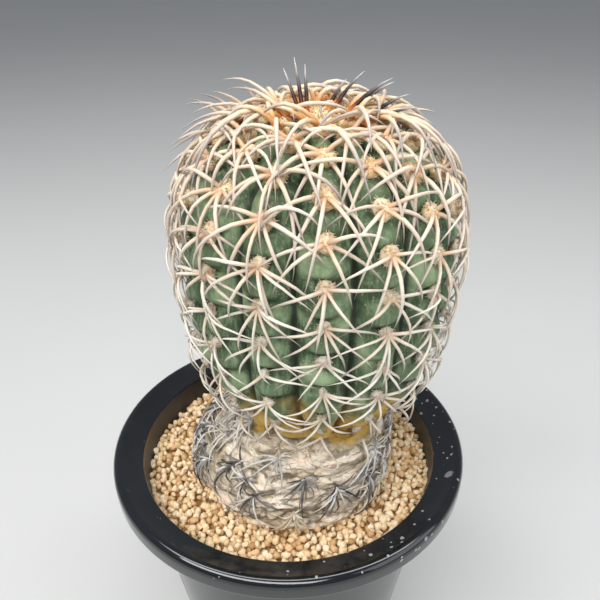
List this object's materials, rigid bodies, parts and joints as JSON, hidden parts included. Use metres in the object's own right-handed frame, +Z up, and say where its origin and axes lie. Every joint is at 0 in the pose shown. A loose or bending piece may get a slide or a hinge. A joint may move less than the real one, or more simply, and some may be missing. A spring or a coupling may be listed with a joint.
{
  "type": "potted round cactus",
  "caption": "Round ribbed cactus with long curved spines, standing on its corky old base in a black flared-rim pot filled with potting mix and a tan granule top dressing.",
  "frame": {"origin": "centre of the pot's foot ring, on the surface that the pot stands on, below the centre of the pot's rim", "axes": "+Z up through the pot's mouth, -Y towards the front, +X to the right, the side that the green body stands off towards"},
  "size_m": [0.15, 0.15, 0.2882],
  "materials": {
    "pot_plastic": "gloss",
    "gravel": "matte",
    "potting_mix": "matte",
    "granules": "matte",
    "cactus_skin": "satin",
    "wool": "matte",
    "spine": "satin",
    "old_spine": "matte"
  },
  "bodies": {
    "root": {"pot": "pot_plastic", "drainage_gravel": "gravel", "potting_mix": "potting_mix", "top_dressing": "granules", "cactus_stem": "cactus_skin", "crown_wool": "wool", "crown_spines": "spine", "rib_01_spines": "spine", "rib_02_spines": "spine", "rib_03_spines": "spine", "rib_04_spines": "spine", "rib_05_spines": "spine", "rib_06_spines": "spine", "rib_07_spines": "spine", "rib_08_spines": "spine", "rib_09_spines": "spine", "rib_10_spines": "spine", "rib_11_spines": "spine", "rib_12_spines": "spine", "rib_13_spines": "spine", "rib_14_spines": "spine", "rib_15_spines": "spine", "old_rib_01_spines": "old_spine", "old_rib_02_spines": "old_spine", "old_rib_03_spines": "old_spine", "old_rib_04_spines": "old_spine", "old_rib_05_spines": "old_spine", "old_rib_06_spines": "old_spine", "old_rib_07_spines": "old_spine", "old_rib_08_spines": "old_spine", "old_rib_09_spines": "old_spine", "old_rib_10_spines": "old_spine", "old_rib_11_spines": "old_spine", "old_rib_12_spines": "old_spine", "old_rib_13_spines": "old_spine", "old_rib_14_spines": "old_spine", "old_rib_15_spines": "old_spine"}
  },
  "joints": []
}
